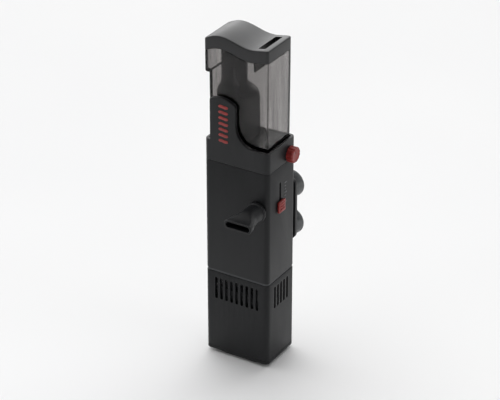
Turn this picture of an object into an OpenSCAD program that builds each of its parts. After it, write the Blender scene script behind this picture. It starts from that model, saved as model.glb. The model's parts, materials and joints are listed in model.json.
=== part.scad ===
// In-tank protein skimmer with a needle-wheel flow pump.
// Millimetres, +Z up, front towards -Y. The origin is on the floor, at the middle of the column.

/* [Cup] */
// Width of the cup below its step
cup_w = 56; // [55:0.5:57]
// Depth of the cup, front to back
cup_d = 37; // [36.6:0.1:37.2]
// How far the left side steps out near the top
cup_step = 4; // [3:0.5:5]
// Height of that step above the cup's floor
cup_step_z = 60; // [56:1:62]
// Wall thickness of the cup
cup_wall = 2.4; // [2.2:0.1:2.6]
// Height of the flat rim above the cup's underside
cup_rim_z = 85.4; // [85:0.1:85.6]

/* [Lid] */
// Height of the lid's right end above the cup's underside
lid_top_z = 90.5; // [90:0.1:92]
// Height of the wave's crest above the right end
wave_crest = 3.2; // [2:0.2:4]
// Depth of the wave's trough below the right end
wave_trough = 2.1; // [1.5:0.1:2.3]
// Drop of the left corner below the right end
wave_left = 1.6; // [1:0.1:2]
// Height of the lid's skirt
skirt_h = 11; // [10:0.5:12]
// Width of the vent slot
vent_w = 6.5; // [5:0.5:7]
// Length of the vent slot
vent_l = 27; // [20:1:28]

/* [Riser] */
// Radius of the riser's neck
neck_r = 10.8; // [10:0.2:11]
// Height of the neck's mouth above the cup's underside
neck_top_z = 77; // [72:1:78]
// Width of the riser's square body
riser_w = 29; // [28:0.5:29.5]

/* [Column] */
// Width of the column
body_w = 61.2; // [61:0.1:62]
// Depth of the column
body_d = 43.6; // [43.4:0.1:44]
// Height of the column, up to the face that the cup stands on
cup_z = 203; // [203:1:215]
// Height of the seam below the collar
collar_z = 185; // [184:1:186]

/* [Tongue] */
// Width of the front tongue
tongue_w = 24.8; // [23:0.2:26]
// Height of the tongue's highest point above the cup's underside
tongue_h = 41; // [38:1:43]
// Radius of the sweep between the tongue and the collar
sweep_r = 17.5; // [16:0.5:19]

/* [Pump] */
// Radius of the motor can
can_r = 17.5; // [17.3:0.1:17.6]
// Radius of the ceramic shaft
shaft_r = 1.5; // [1.4:0.1:1.6]
// Rows of needles on the needle wheel
needle_rows = 2; // [1:1:2]

/* [Hidden] */
$fn = 48;
eps = 0.01;
run = 0.05;    // radial clearance of a running fit
slack = 0.3;   // clearance between parts that slide or lift off
gap = 0.2;     // clearance between parts that stay put

// Column shells
body_r = 4;
wall = 2.2;
pump_top_z = 80;  // seam between the pump casing and the column
inner_w = body_w - 2 * wall;
inner_d = body_d - 2 * wall;
front_y = -body_d / 2;
back_y = body_d / 2;
base_z = 3;
floor_z = 6;
lap_h = 3;     // height of the lap joint between the column and the collar
lap_t = 1.1;

// Cup and lid
cup_taper = 0.4;                     // narrowing of each side at the cup's foot
skirt_t = 1.3;
lid_plate = 2.2;
lid_rim = 3.6;                       // width of the solid rim inside the skirt
lid_l = -cup_w / 2 - cup_step;
lid_r = cup_w / 2;
crest_x = -17;
trough_x = 11;
seal_z = 86.2;
vent_x = 19.15;
baffle_x = 13;
baffle_t = 1.6;
baffle_z = 68.4;
collar_h = 8;                        // length of the sleeve under the cup

// Riser: square body below, neck above, an S-shaped shoulder between them
riser_x = -10.4;
riser_d = 30.4;
riser_r = 7;
riser_wall = 1.8;
neck_x = -14.2;
shoulder_top_z = 50;
shoulder_low_z = 36;
shoulder_r = 21;

// Tongue
tongue_l = -25.4;
tongue_rx = tongue_l + tongue_w;
tongue_t = 3;
tongue_arc_r = 22;
tongue_arc_x = -14.6;
rim_h = 1;                           // how far the collar's rim stands above the cup's underside
badge_bars = 7;
badge_w = 9.3;
badge_pitch = 5.15;
badge_x = -12.1;
badge_t = 0.3;

// Foam chamber and return duct
chamber_w = 32;
chamber_d = 36;
chamber_top_z = 194;
shell_t = 1.8;
spigot_gap = 0.4;
duct_x = 20.7;
duct_w = 14.6;
duct_d = 34;
duct_t = 1.6;
duct_top_z = 176;
weir_y = -4.2;
weir_t = 1.6;
weir_z = 140;
plate_z = 90;
plate_t = 1.6;
tray_band = 2;
spout_z = 150;
spout_r = 6;
gate_y = -3.2;
gate_t = 1.4;
gate_travel = 18;
gate_tab_z = 146;

// Screw posts, and the rubber pad with its studs
post_x = 24.6;
post_y = 15.8;
pad_w = 40;
pad_d = 37;
stud_x = 15;
stud_y = 14;
stud_r = 1.8;

// Motor and volute
motor_x = -8;
can_z = 10.5;
can_top_z = 48;
can_wall = 2;
well_r = 7;
well_z = 24;
ear_r = 19.6;
ear_angles = [45, 135, 225];
ear_w = 6.4;
volute_top_z = 60;
volute_r = 17;
volute_in_r = 14.75;
ring_seat_r = 16.2;
ring_wire_r = 0.65;
cover_t = 2.4;
intake_r = 8;
intake_wall = 1.6;
intake_top_z = 73;
stub_y = -10.5;
stub_z = 54.5;
elbow_x = 17.5;
bush_z = 25.6;

// Air line
hose_x = 9.5;
hose_y = 12;
hose_r = 3;
barb_r = 2.05;
air_bore_r = 1.2;
arm_z = 68;
valve_z = 191;
inlet_r = 2.5;
inlet_len = 8.4;
stem_r = 2.45;

// Holder
rail_z = 92;
rail_h = 88;
bracket_z = 110;
bracket_h = 40;
holder_z = 130;
holder_y = back_y + 5.2;
sucker_x = 17;
sucker_z = 18;
sucker_y = holder_y + 3.2;
sucker_len = 9;

function quarter(t) = sin(90 * t);
function wave(x) =
    x < crest_x ? -wave_left + (wave_crest + wave_left) * quarter((x - lid_l) / (crest_x - lid_l))
  : x < trough_x ? (wave_crest - wave_trough) / 2
        + (wave_crest + wave_trough) / 2 * cos(180 * (x - crest_x) / (trough_x - crest_x))
  : -wave_trough * (1 + cos(180 * (x - trough_x) / (lid_r - trough_x))) / 2;
function s_curve(t) = (1 - cos(180 * t)) / 2;

// Rounded rectangle, and solids drawn with it
module rounded(w, d, r) {
    square([w - 2 * r, d], center = true);
    square([w, d - 2 * r], center = true);
    for (x = [-1, 1], y = [-1, 1]) translate([x * (w / 2 - r), y * (d / 2 - r)]) circle(r);
}
module block(w, d, r, z0, z1, x = 0) {
    translate([x, 0, z0]) linear_extrude(z1 - z0) rounded(w, d, r);
}
module tube(w, d, r, t, z0, z1, x = 0) {
    difference() {
        block(w, d, r, z0, z1, x);
        block(w - 2 * t, d - 2 * t, max(r - t, 0.5), z0 - 1, z1 + 1, x);
    }
}
// Box given by its low and high corners
module span(low, high) translate(low) cube(high - low);
// Round rod or pipe along one axis
module rod_x(r, x0, x1, y, z) translate([x0, y, z]) rotate([0, 90, 0]) cylinder(r = r, h = x1 - x0);
module rod_y(r, y0, y1, x, z) translate([x, y1, z]) rotate([90, 0, 0]) cylinder(r = r, h = y1 - y0);
module rod_z(r, z0, z1, x = 0, y = 0) translate([x, y, z0]) cylinder(r = r, h = z1 - z0);
// Four-sided box that narrows towards its foot, by d on each side
module tapered(w, d, z0, z1, low) {
    intersection() {
        translate([0, d, 0]) rotate([90, 0, 0]) linear_extrude(2 * d)
            polygon([[-w / 2 + low, z0], [w / 2 - low, z0], [w / 2, z1], [-w / 2, z1]]);
        translate([-w, 0, 0]) rotate([90, 0, 90]) linear_extrude(2 * w)
            polygon([[-d / 2 + low, z0], [d / 2 - low, z0], [d / 2, z1], [-d / 2, z1]]);
    }
}
// Everything under the lid's wave, moved down by drop
module under_wave(drop) {
    steps = 30;
    top = [for (i = [0:steps]) let (x = lid_l + (lid_r - lid_l) * i / steps)
               [x, lid_top_z + wave(x) - drop]];
    translate([0, cup_d, 0]) rotate([90, 0, 0]) linear_extrude(2 * cup_d)
        polygon(concat([[lid_l, 0], [lid_l - 1, 0], [lid_l - 1, top[0][1]]], top,
                       [[lid_r + 1, top[steps][1]], [lid_r + 1, 0]]));
}
// Prism over the cup's stepped-out top, inset from its outside
module top_prism(inset, z0, z1) {
    span([lid_l + inset, -cup_d / 2 + inset, z0], [lid_r - inset, cup_d / 2 - inset, z1]);
}

// ---- cup, riser and lid ----
module cup_shell() color("dimgray", 0.5) translate([0, 0, cup_z]) difference() {
    union() {
        tapered(cup_w, cup_d, 0, cup_step_z, cup_taper);
        intersection() {
            top_prism(0, cup_step_z, 100);
            under_wave(skirt_h + 0.15);
        }
        top_prism(skirt_t + 0.15, cup_step_z, cup_rim_z);
        block(riser_w, riser_d, riser_r, -collar_h, 1, riser_x);
    }
    tapered(cup_w - 2 * cup_wall, cup_d - 2 * cup_wall, cup_wall, cup_step_z + cup_wall, cup_taper);
    top_prism(cup_wall, cup_step_z + cup_wall, 100);
    block(riser_w - 2 * riser_wall, riser_d - 2 * riser_wall, riser_r - riser_wall,
          -collar_h - 1, cup_wall + 1, riser_x);
}

// The riser's outline is where its square body meets a bottle turned about the neck's axis
module riser_form(inset, z0, z1) {
    steps = 12;
    intersection() {
        block(riser_w - 2 * inset, riser_d - 2 * inset, riser_r - inset, z0, z1, riser_x);
        translate([neck_x, 0, 0]) rotate_extrude() polygon(concat(
            [[0, z0], [riser_w, z0], [riser_w, shoulder_low_z - 2]],
            [for (i = [0:steps]) let (t = i / steps)
                [shoulder_r - (shoulder_r - neck_r) * s_curve(t) - inset,
                 shoulder_low_z + (shoulder_top_z - shoulder_low_z) * t]],
            [[neck_r - inset, z1], [0, z1]]));
    }
}
module riser_tube() color([0.13, 0.13, 0.14]) translate([0, 0, cup_z]) difference() {
    riser_form(0, cup_wall, neck_top_z);
    riser_form(riser_wall, cup_wall - eps, neck_top_z + eps);
}

module cup_seal() color("gray") translate([0, 0, cup_z])
    tube(riser_w, riser_d, riser_r, riser_wall, -collar_h - 1, -collar_h, riser_x);

module cup_lid() color([0.2, 0.2, 0.21]) translate([0, 0, cup_z]) difference() {
    union() {
        difference() {
            intersection() {
                top_prism(0, 60, 100);
                under_wave(0);
            }
            under_wave(skirt_h);
            top_prism(skirt_t, 60, seal_z);
            intersection() {
                top_prism(lid_rim, 60, 100);
                under_wave(lid_plate);
            }
        }
        intersection() {
            vent_chute();
            under_wave(lid_plate / 2);
        }
    }
    span([vent_x - vent_w / 2, -vent_l / 2, 60], [vent_x + vent_w / 2, vent_l / 2, 100]);
}
// Splash baffle on the slot's left, with a shorter box round the rest of the slot
module vent_chute() {
    half = cup_d / 2 - lid_rim;
    span([baffle_x, -half, baffle_z], [baffle_x + baffle_t, half, 100]);
    span([baffle_x, -half, 80.5], [lid_r - lid_rim + 0.2, half, 100]);
}

module lid_seal() color("gray") translate([0, 0, cup_z]) difference() {
    top_prism(skirt_t + 0.3, cup_rim_z, seal_z);
    top_prism(lid_rim - 0.4, cup_rim_z - 1, seal_z + 1);
}

// ---- collar and column ----
module tongue_outline() {
    top = tongue_h - tongue_arc_r;
    steps = 24;
    intersection() {
        translate([tongue_l, 0]) square([tongue_w, tongue_h]);
        union() {
            translate([tongue_arc_x, top]) circle(tongue_arc_r, $fn = 96);
            translate([tongue_l, 0]) square([tongue_w, top]);
        }
    }
    // hollow sweep down to the collar's rim
    polygon(concat([[tongue_rx - 1, 0], [tongue_rx - 1, rim_h + sweep_r]],
        [for (i = [0:steps]) let (a = 90 * i / steps)
            [tongue_rx + sweep_r * (1 - cos(a)), rim_h + sweep_r * (1 - sin(a))]],
        [[tongue_rx + sweep_r, 0]]));
}
module upper_housing() color([0.16, 0.16, 0.17]) difference() {
    union() {
        block(body_w, body_d, body_r, collar_z, cup_z + rim_h);
        translate([0, front_y + tongue_t, cup_z]) rotate([90, 0, 0]) linear_extrude(tongue_t)
            tongue_outline();
    }
    // seat that the cup stands in
    span([-cup_w / 2 - slack, front_y + tongue_t, cup_z], [cup_w / 2 + slack, cup_d / 2 + 0.4, 300]);
    // room below the top plate, and the lap over the column's top
    block(inner_w, inner_d, body_r - wall, collar_z - 1, cup_z - 3);
    block(body_w - 2 * lap_t, body_d - 2 * lap_t, body_r - lap_t, collar_z - 1, collar_z + lap_h);
    block(riser_w + 0.8, riser_d + 0.8, riser_r + 0.4, cup_z - 5, cup_z + 5, riser_x);
    rod_x(stem_r + 0.6, 20, 40, hose_y, valve_z);
    rod_y(inlet_r + 0.1, 10, 40, duct_x, valve_z);
}

module badge() color([0.55, 0.16, 0.14])
    for (i = [0:badge_bars - 1])
        translate([badge_x, front_y, cup_z + 1 + i * badge_pitch]) rotate([90, 0, 0])
            linear_extrude(badge_t) rounded_bar();
module rounded_bar() {
    bar_h = 3.1;
    translate([0, bar_h / 2]) {
        square([badge_w - bar_h, bar_h], center = true);
        for (s = [-1, 1]) translate([s * (badge_w - bar_h) / 2, 0]) circle(bar_h / 2);
    }
}

module column_casing() color([0.14, 0.14, 0.15]) difference() {
    union() {
        tube(body_w, body_d, body_r, wall, pump_top_z + tray_band, collar_z);
        tube(body_w - 2 * lap_t - gap, body_d - 2 * lap_t - gap, body_r - lap_t - gap / 2,
             wall - lap_t - gap / 2, collar_z - 1, collar_z + lap_h - gap);
        span([-3, back_y - 1, rail_z], [3, back_y + 2.3, rail_z + rail_h]);
        span([-7, back_y + 2.2, rail_z], [7, back_y + 4.6, rail_z + rail_h]);
    }
    rod_y(spout_r + run, front_y - 1, front_y + wall + 1, duct_x, spout_z);
    span([inner_w / 2 - 1, gate_y - 0.6, gate_tab_z - 0.6],
         [body_w / 2 + 1, gate_y + gate_t + 0.6, gate_tab_z + 6.6 + gate_travel]);
}

module chamber_body() color([0.25, 0.26, 0.27]) difference() {
    low = plate_z + plate_t;
    duct_in = duct_w - 2 * duct_t;
    union() {
        block(chamber_w, chamber_d, 8, low, chamber_top_z, riser_x);
        spigot(0, chamber_top_z, cup_z - 2);
        block(duct_w, duct_d, 3, low, duct_top_z, duct_x);
        span([5, -4.8, low], [duct_x - 6, 6.8, low + 14]);
    }
    block(chamber_w - 2 * shell_t, chamber_d - 2 * shell_t, 8 - shell_t, low - 1,
          chamber_top_z - shell_t, riser_x);
    spigot(1.6, chamber_top_z - 3, cup_z);
    // rising side of the duct, and the side that falls to the outlet
    span([duct_x - duct_in / 2, weir_y + weir_t / 2, low - 1],
         [duct_x + duct_in / 2, duct_d / 2 - duct_t, duct_top_z + 1]);
    span([duct_x - duct_in / 2, -duct_d / 2 + duct_t, weir_z - 2],
         [duct_x + duct_in / 2, weir_y - weir_t / 2, duct_top_z + 1]);
    span([duct_x - duct_in / 2, -duct_d / 2 + duct_t, weir_z],
         [duct_x + duct_in / 2, 0, duct_top_z + 1]);
    // passage from the chamber's foot to the duct
    span([2, -3, low + 2], [duct_x - duct_in / 2 + 1, 5, low + 12]);
    rod_y(4.6, -duct_d / 2 - 1, -duct_d / 2 + 3, duct_x, spout_z);
    span([duct_x + duct_in / 2 - 1, gate_y - 0.4, gate_tab_z - 0.6],
         [duct_x + duct_w, gate_y + gate_t + 0.4, gate_tab_z + 6.6 + gate_travel]);
}
module spigot(inset, z0, z1) {
    shrink = 2 * (riser_wall + spigot_gap + inset);
    block(riser_w - shrink, riser_d - shrink, riser_r - shrink / 2, z0, z1, riser_x);
}

module bubble_plate() color("whitesmoke") difference() {
    block(inner_w - gap, inner_d - gap, body_r - wall, plate_z, plate_z + plate_t);
    for (i = [0:6], j = [0:6])
        rod_z(1, plate_z - 1, plate_z + 3, riser_x - 10.5 + 3.5 * i, -10.5 + 3.5 * j);
    rod_z(hose_r + 0.4, plate_z - 1, plate_z + 3, hose_x, hose_y);
}

module plenum_tray() color([0.14, 0.14, 0.15]) difference() {
    union() {
        block(body_w - 1.2, body_d - 1.2, body_r - 0.6, pump_top_z, pump_top_z + tray_band);
        tube(inner_w - gap, inner_d - gap, body_r - wall - gap / 2, 1.6, pump_top_z, plate_z);
        tube(inner_w - gap, inner_d - gap, body_r - wall - gap / 2, 1.6, pump_top_z - 3, pump_top_z);
        rod_z(hose_r + 1.6, pump_top_z, plate_z, hose_x, hose_y);
    }
    rod_z(hose_r + 0.4, pump_top_z - 1, plate_z + 1, hose_x, hose_y);
    rod_z(5 + run, pump_top_z - 1, pump_top_z + 3, elbow_x, stub_y);
}

module level_gate() color([0.5, 0.16, 0.14]) {
    half = duct_w / 2 - duct_t - gap;
    span([duct_x - half, gate_y, 126], [duct_x + half, gate_y + gate_t, 160]);
    side = body_w / 2;
    span([duct_x + half - eps, gate_y, gate_tab_z], [side + 1.4, gate_y + gate_t, gate_tab_z + 6]);
    span([side + 0.4, gate_y - 4.3, gate_tab_z - 2], [side + 2.4, gate_y + 5.7, gate_tab_z + 8]);
}

module outlet_spout() color([0.14, 0.14, 0.15]) difference() {
    union() {
        intersection() {
            rod_y(7.4, front_y + wall, -duct_d / 2, duct_x, spout_z);
            block(inner_w - gap, inner_d, body_r - wall, spout_z - 10, spout_z + 10);
        }
        rod_y(spout_r, front_y - 10, front_y + wall + 1, duct_x, spout_z);
    }
    rod_y(4.6, front_y - 11, 0, duct_x, spout_z);
}

module flow_nozzle() color([0.14, 0.14, 0.15]) translate([duct_x, front_y, spout_z]) difference() {
    union() {
        rod_y(8, -14, -1, 0, 0);
        rod_y(8.8, -4.2, -1, 0, 0);
        hull() {
            rod_y(8, -14.5, -14, 0, 0, $fn = 32);
            span([-13, -32, -4], [13, -31, 4]);
        }
    }
    rod_y(spout_r + run, -10.5, 0, 0, 0);
    rod_y(4.6, -15, -10, 0, 0);
    hull() {
        rod_y(4.6, -14.6, -14.4, 0, 0, $fn = 32);
        span([-11, -33, -2.4], [11, -32, 2.4]);
    }
}

// ---- pump casing and base ----
module at_posts() for (x = [-1, 1], y = [-1, 1]) translate([x * post_x, y * post_y, 0]) children();
module at_pad_studs()
    for (x = [-1, 1], y = [-1, 1]) translate([x * stud_x, y * stud_y, 0]) children();
module pump_casing() color([0.13, 0.13, 0.14]) difference() {
    union() {
        tube(body_w, body_d, body_r, wall, floor_z, pump_top_z);
        at_posts() rod_z(4.2, floor_z, 22);
    }
    at_posts() rod_z(1.25, floor_z - 1, 18.5);
    // intake slots, front and sides
    for (i = [-4:4]) span([i * 5 - 1.4, front_y - 1, 54], [i * 5 + 1.4, front_y + wall + 1, 75]);
    for (i = [-2:2]) span([-body_w, i * 5 - 1.4, 54], [body_w, i * 5 + 1.4, 75]);
    rod_y(4.6, 15, 30, motor_x, 30);
}

module base_plate() color([0.13, 0.13, 0.14]) difference() {
    block(body_w, body_d, body_r, base_z, floor_z);
    at_posts() {
        rod_z(1.6, base_z - 1, floor_z + 1);
        rod_z(3.1, base_z - 1, base_z + 1.6);
    }
    at_pad_studs() rod_z(stud_r, base_z - 1, floor_z + 1);
}

module base_pad() color([0.2, 0.2, 0.2]) {
    block(pad_w, pad_d, 5, 0, base_z);
    at_pad_studs() rod_z(stud_r, base_z - eps, floor_z);
}

module casing_screws() color("silver")
    at_posts() difference() {
        union() {
            rod_z(2.8, base_z, base_z + 1.6);
            rod_z(1.25, base_z + 1.6, 17);
        }
        translate([-0.35, -2, base_z - 1]) cube([0.7, 4, 1.8]);
        translate([-2, -0.35, base_z - 1]) cube([4, 0.7, 1.8]);
    }

// ---- motor ----
module at_motor() translate([motor_x, 0, 0]) children();
// Round flange with three screw ears, and the holes through the ears
module flange(r, z0, z1) translate([0, 0, z0]) linear_extrude(z1 - z0) {
    circle(r);
    for (a = ear_angles) rotate(a) {
        translate([ear_r, 0]) circle(ear_w / 2);
        translate([ear_r - 4, -ear_w / 2]) square([4, ear_w]);
    }
}
module ear_holes(r, z0, z1) for (a = ear_angles) rotate(a) rod_z(r, z0, z1, ear_r, 0);
module motor_can() color([0.12, 0.12, 0.13]) at_motor() difference() {
    union() {
        rod_z(can_r, can_z, can_top_z);
        flange(can_r, can_top_z - 6, can_top_z);
    }
    difference() {
        rod_z(can_r - can_wall, can_z - 1, can_top_z - 2.5);
        rod_z(well_r + 0.8, well_z, can_top_z);
    }
    rod_z(well_r, well_z + 1.6, can_top_z + 1);
    ear_holes(1.1, can_top_z - 7, can_top_z + 1);
    rod_y(4.5, 10, 20, 0, 30);
}
module motor_end_plate() color([0.12, 0.12, 0.13]) at_motor() rod_z(can_r, 8, can_z);

module stator_core() color("lightgray") at_motor() difference() {
    union() {
        for (s = [-1, 1]) span([s > 0 ? 7 : -13.4, -6.8, 14], [s > 0 ? 13.4 : -7, 6.8, 44]);
        span([-13.4, -6.8, 14], [13.4, 6.8, 19.5]);
    }
    rod_z(well_r + 1.1, 21, 50);
}
module around_yoke(x, y, low, high) span([-x, -y, 14 - low], [x, y, 19.5 + high]);
module coil_bobbin() color("whitesmoke") at_motor() difference() {
    union() {
        around_yoke(6.8, 7.8, 1, 1);
        difference() {
            around_yoke(6.8, 10, 3, 3);
            around_yoke(5.8, 11, 4, 4);
        }
    }
    around_yoke(7, 7, 0.15, 0.15);
}
module coil_winding() color([0.72, 0.38, 0.2]) at_motor() difference() {
    around_yoke(5.8, 9.6, 2.6, 2.6);
    around_yoke(6, 7.8, 1, 1);
}

module rotor_magnet() color([0.25, 0.25, 0.26]) at_motor() difference() {
    rod_z(well_r - 0.7, 29, 45);
    rod_z(shaft_r + run, 28, 46);
}
module rotor_shaft() color("white") at_motor() rod_z(shaft_r, bush_z + 0.6, 62.6);
module impeller() color([0.85, 0.85, 0.83]) at_motor() difference() {
    union() {
        rod_z(3.2, 45, 59.4);
        rod_z(13, 50, 51.4);
        for (row = [0:needle_rows - 1]) for (i = [0:17 - 6 * row])
            rotate(i * 360 / (18 - 6 * row)) rod_z(0.6, 51, 58, 11.6 - 3.4 * row, 0);
    }
    rod_z(shaft_r + run, 44, 60);
}
module rear_bush() color([0.2, 0.2, 0.2]) at_motor() difference() {
    rod_z(well_r, bush_z, 28);
    rod_z(shaft_r, bush_z + 0.6, 29);
}
module front_bush() color([0.2, 0.2, 0.2]) at_motor() difference() {
    rod_z(2.8, volute_top_z, 64);
    rod_z(shaft_r, volute_top_z - 1, 62.6);
}

module volute_housing() color([0.14, 0.14, 0.15]) at_motor() difference() {
    union() {
        flange(volute_r, can_top_z, volute_top_z);
        rod_x(5, 0, 20, stub_y, stub_z);
    }
    rod_z(volute_in_r, can_top_z - 1, volute_top_z + 1);
    rod_x(3.6, 0, 21, stub_y, stub_z);
    ear_holes(1.4, can_top_z - 1, volute_top_z + 1);
    rod_z(ring_seat_r, can_top_z - 1, can_top_z + 2 * ring_wire_r);
}
module volute_o_ring() color([0.1, 0.1, 0.1]) at_motor() translate([0, 0, can_top_z + ring_wire_r])
    rotate_extrude() translate([ring_seat_r - ring_wire_r, 0]) circle(ring_wire_r - eps);

module volute_cover() color([0.14, 0.14, 0.15]) {
    turn = atan2(hose_y, hose_x - motor_x);
    reach = norm([hose_y, hose_x - motor_x]);
    difference() {
        union() {
            at_motor() {
                flange(volute_r, volute_top_z, volute_top_z + cover_t);
                rod_z(intake_r + intake_wall, volute_top_z, intake_top_z);
                rotate(turn) rod_x(2.4, intake_r + 0.8, reach, 0, arm_z);
            }
            rod_z(2.9, arm_z - 2.9, arm_z + 2.9, hose_x, hose_y);
            rod_z(barb_r, arm_z, arm_z + 12, hose_x, hose_y);
        }
        at_motor() {
            difference() {
                rod_z(intake_r, volute_top_z - 1, intake_top_z + 1);
                rod_z(4.2, volute_top_z - 1, volute_top_z + 4);
                for (a = [0, 120, 240]) rotate(a)
                    span([3, -0.8, volute_top_z], [intake_r + 1, 0.8, volute_top_z + 4]);
            }
            rod_z(2.8, volute_top_z - 1, 66);
            rotate(turn) rod_x(air_bore_r, intake_r - 1, reach, 0, arm_z);
            ear_holes(1.4, volute_top_z - 1, volute_top_z + cover_t + 1);
        }
        rod_z(air_bore_r, arm_z - 1.5, arm_z + 13, hose_x, hose_y);
    }
}
module volute_screws() color("silver") at_motor()
    for (a = ear_angles) rotate(a) difference() {
        union() {
            rod_z(2.3, volute_top_z + cover_t, volute_top_z + cover_t + 1.6, ear_r, 0);
            rod_z(1.1, can_top_z - 5, volute_top_z + cover_t, ear_r, 0);
        }
        translate([ear_r - 0.3, -1.6, volute_top_z + cover_t + 0.8]) cube([0.6, 3.2, 2]);
    }

module delivery_elbow() color([0.14, 0.14, 0.15]) difference() {
    union() {
        rod_x(6.4, 9.6, elbow_x, stub_y, stub_z);
        translate([elbow_x, stub_y, stub_z]) sphere(6.4);
        rod_z(5, stub_z, 84, elbow_x, stub_y);
    }
    rod_x(5 + run, 9, 12 + run, stub_y, stub_z);
    rod_x(3.6, 9, elbow_x, stub_y, stub_z);
    translate([elbow_x, stub_y, stub_z]) sphere(3.6);
    rod_z(3.6, stub_z, 85, elbow_x, stub_y);
}

module damper_pads() color([0.2, 0.2, 0.2]) at_motor()
    for (a = [90, 210, 330]) rotate(a) rod_z(3.5, floor_z, 8, 12, 0);

module cable_gland() color([0.1, 0.1, 0.1]) at_motor() difference() {
    union() {
        rod_y(4.5, 15.6, 24.5, 0, 30);
        rod_y(6, 17.7, 19.4, 0, 30);
    }
    rod_y(2.8, 15, 25, 0, 30);
}

// ---- air line ----
module air_valve_body() color([0.3, 0.3, 0.31]) difference() {
    union() {
        span([hose_x - 3.5, hose_y - 6, valve_z - 7], [inner_w / 2 - 1, hose_y + 6, valve_z + 7]);
        rod_z(barb_r, 171, valve_z - 6, hose_x, hose_y);
        rod_y(inlet_r - 0.2, hose_y + 5, back_y + eps, duct_x, valve_z);
        rod_y(inlet_r, back_y, back_y + inlet_len, duct_x, valve_z);
    }
    rod_x(stem_r + run, 13, 40, hose_y, valve_z);
    rod_x(1.6, hose_x, 20, hose_y, valve_z);
    rod_z(air_bore_r, 170, valve_z, hose_x, hose_y);
    rod_y(1.4, hose_y, back_y + inlet_len + 1, duct_x, valve_z);
}
module air_valve_knob() color([0.5, 0.16, 0.14]) difference() {
    union() {
        rod_x(stem_r, 18, body_w / 2 + 1, hose_y, valve_z);
        translate([14.5, hose_y, valve_z]) rotate([0, 90, 0]) cylinder(r1 = 0.4, r2 = 1.4, h = 3.5);
        rod_x(7, body_w / 2 + 0.5, body_w / 2 + 6.5, hose_y, valve_z);
    }
    for (i = [0:11]) translate([0, hose_y, valve_z]) rotate([i * 30, 0, 0])
        rod_x(0.9, body_w / 2 + 1.5, body_w / 2 + 8, 7.3, 0);
    // pointer groove, and the groove of the sealing ring
    span([body_w / 2 + 5.9, hose_y - 0.5, valve_z + 1], [body_w / 2 + 8, hose_y + 0.5, valve_z + 6]);
    difference() {
        rod_x(stem_r + 1, 24, 25.4, hose_y, valve_z);
        rod_x(1.5, 23, 26, hose_y, valve_z);
    }
}
module valve_o_ring() color([0.1, 0.1, 0.1]) translate([24.7, hose_y, valve_z]) rotate([0, 90, 0])
    rotate_extrude() translate([1.98, 0]) circle(0.46);

module air_hose() color([0.75, 0.78, 0.78], 0.7) difference() {
    rod_z(hose_r, 71.2, 182.6, hose_x, hose_y);
    rod_z(hose_r - 0.9, 70, 184, hose_x, hose_y);
}

// ---- holder ----
module holder_bracket() color([0.14, 0.14, 0.15]) difference() {
    union() {
        span([-10.6, back_y + 0.5, bracket_z], [10.6, holder_y + 1, bracket_z + bracket_h]);
        translate([0, sucker_y, holder_z]) rotate([90, 0, 0]) linear_extrude(3.2)
            rounded(56, 58, 6);
    }
    span([-7.3, back_y + 1.9, bracket_z - 1], [7.3, holder_y - 0.3, bracket_z + bracket_h + 1]);
    span([-3.4, back_y, bracket_z - 1], [3.4, back_y + 3, bracket_z + bracket_h + 1]);
    for (x = [-1, 1], z = [-1, 1])
        rod_y(3.2, holder_y - 1, sucker_y + 1, x * sucker_x, holder_z + z * sucker_z);
}
module suction_cups() color([0.35, 0.36, 0.36])
    for (x = [-1, 1], z = [-1, 1])
        translate([x * sucker_x, sucker_y, holder_z + z * sucker_z]) rotate([-90, 0, 0])
            rotate_extrude() polygon([
                [0, -6], [2.6, -6], [4.4, -5.2], [4.4, -3.2], [3.2, -3.2], [3.2, 0], [5, 0],
                [6.5, 2.2], [10, 5], [12.5, sucker_len - 0.5], [12.5, sucker_len],
                [11.8, sucker_len], [9, 6.4], [5, 4.2], [0, 3.6]]);

cup_shell();
riser_tube();
cup_seal();
cup_lid();
lid_seal();
upper_housing();
badge();
column_casing();
chamber_body();
bubble_plate();
plenum_tray();
level_gate();
outlet_spout();
flow_nozzle();
pump_casing();
base_plate();
base_pad();
casing_screws();
motor_can();
motor_end_plate();
stator_core();
coil_bobbin();
coil_winding();
rotor_magnet();
rotor_shaft();
impeller();
front_bush();
rear_bush();
volute_housing();
volute_o_ring();
volute_cover();
volute_screws();
delivery_elbow();
damper_pads();
cable_gland();
air_valve_body();
air_valve_knob();
valve_o_ring();
air_hose();
holder_bracket();
suction_cups();
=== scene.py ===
"""Looks of the in-tank protein skimmer: smoky foam cup, wavy lid, tongue, column, pump and holder.

Lengths are in metres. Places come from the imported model's boxes, and the shapes that a box can't
tell, such as the lid's wave, are named values here.
"""

import json
import math

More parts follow.
